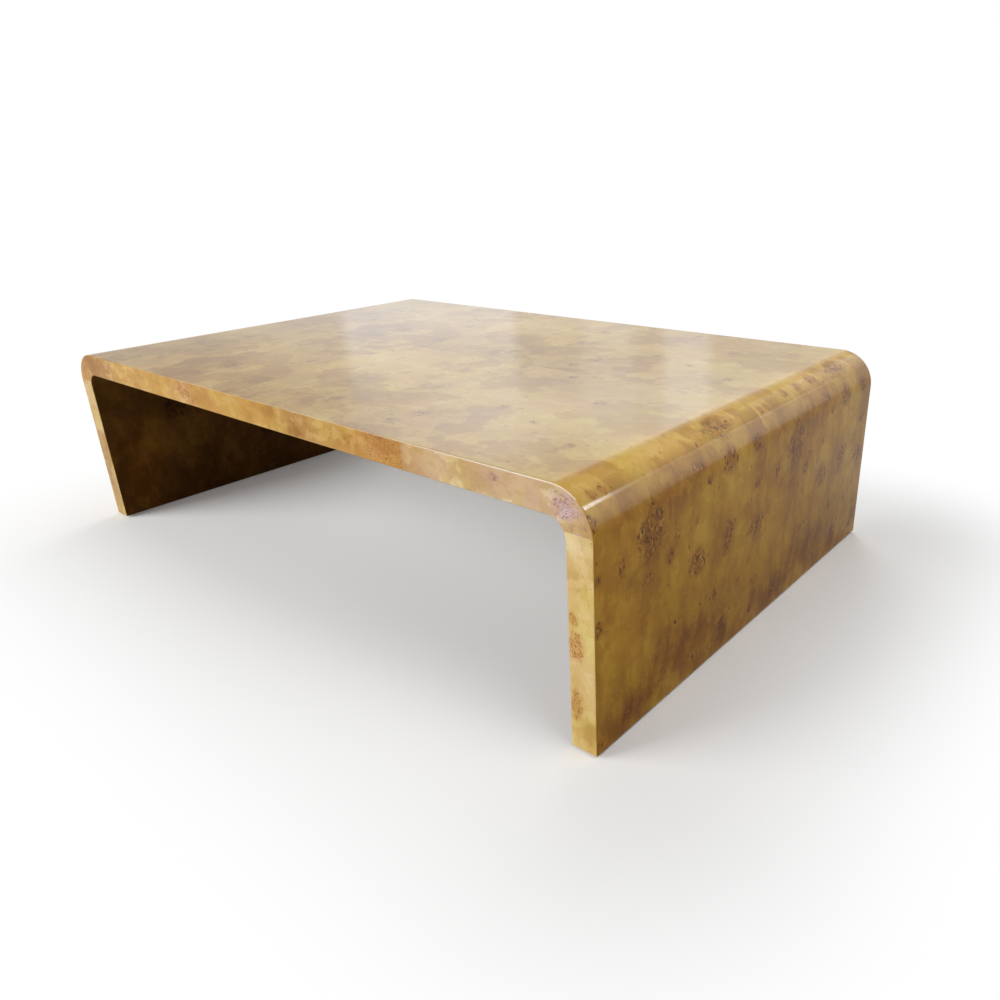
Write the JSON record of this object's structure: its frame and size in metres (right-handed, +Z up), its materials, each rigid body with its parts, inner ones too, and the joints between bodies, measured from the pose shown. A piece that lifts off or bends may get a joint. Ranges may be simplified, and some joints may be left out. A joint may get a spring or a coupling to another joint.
{
  "type": "waterfall coffee table",
  "caption": "Low rectangular coffee table whose thick burl-veneered slab turns through rounded corners into slab legs at both ends.",
  "frame": {"origin": "on the floor under the middle of the table, in the plane of the glides' lower faces", "axes": "+X along the length, +Y from the front edge to the rear edge, +Z up"},
  "size_m": [1.524, 0.965, 0.41],
  "materials": {
    "burl_veneer": "golden burl veneer under a gloss lacquer",
    "inner_veneer": "dark brown veneer under a satin lacquer",
    "plywood": "sanded birch plywood",
    "poplar": "planed poplar",
    "nylon": "moulded brown nylon",
    "nail_steel": "bright drawn steel"
  },
  "bodies": {
    "root": {"front_left_corner_strip": "burl_veneer", "front_left_glide": "nylon", "front_left_leaf": "burl_veneer", "front_left_leg_strip": "burl_veneer", "front_middle_strip": "burl_veneer", "front_right_corner_strip": "burl_veneer", "front_right_glide": "nylon", "front_right_leaf": "burl_veneer", "front_right_leg_strip": "burl_veneer", "glide_nails": "nail_steel", "left_corner_block": "poplar", "left_inner_veneer": "inner_veneer", "left_leg_foot_rail": "poplar", "left_leg_front_stile": "poplar", "left_leg_head_rail": "poplar", "left_leg_inner_skin": "plywood", "left_leg_outer_skin": "plywood", "left_leg_rear_stile": "poplar", "left_leg_rib": "poplar", "left_leg_spline": "plywood", "rear_left_corner_strip": "burl_veneer", "rear_left_glide": "nylon", "rear_left_leaf": "burl_veneer", "rear_left_leg_strip": "burl_veneer", "rear_middle_strip": "burl_veneer", "rear_right_corner_strip": "burl_veneer", "rear_right_glide": "nylon", "rear_right_leaf": "burl_veneer", "rear_right_leg_strip": "burl_veneer", "right_corner_block": "poplar", "right_inner_veneer": "inner_veneer", "right_leg_foot_rail": "poplar", "right_leg_front_stile": "poplar", "right_leg_head_rail": "poplar", "right_leg_inner_skin": "plywood", "right_leg_outer_skin": "plywood", "right_leg_rear_stile": "poplar", "right_leg_rib": "poplar", "right_leg_spline": "plywood", "top_front_rail": "poplar", "top_left_end_rail": "poplar", "top_left_spline": "plywood", "top_lower_skin": "plywood", "top_rear_rail": "poplar", "top_rib_1": "poplar", "top_rib_2": "poplar", "top_rib_3": "poplar", "top_rib_4": "poplar", "top_right_end_rail": "poplar", "top_right_spline": "plywood", "top_upper_skin": "plywood", "underside_veneer": "inner_veneer"}
  },
  "joints": []
}
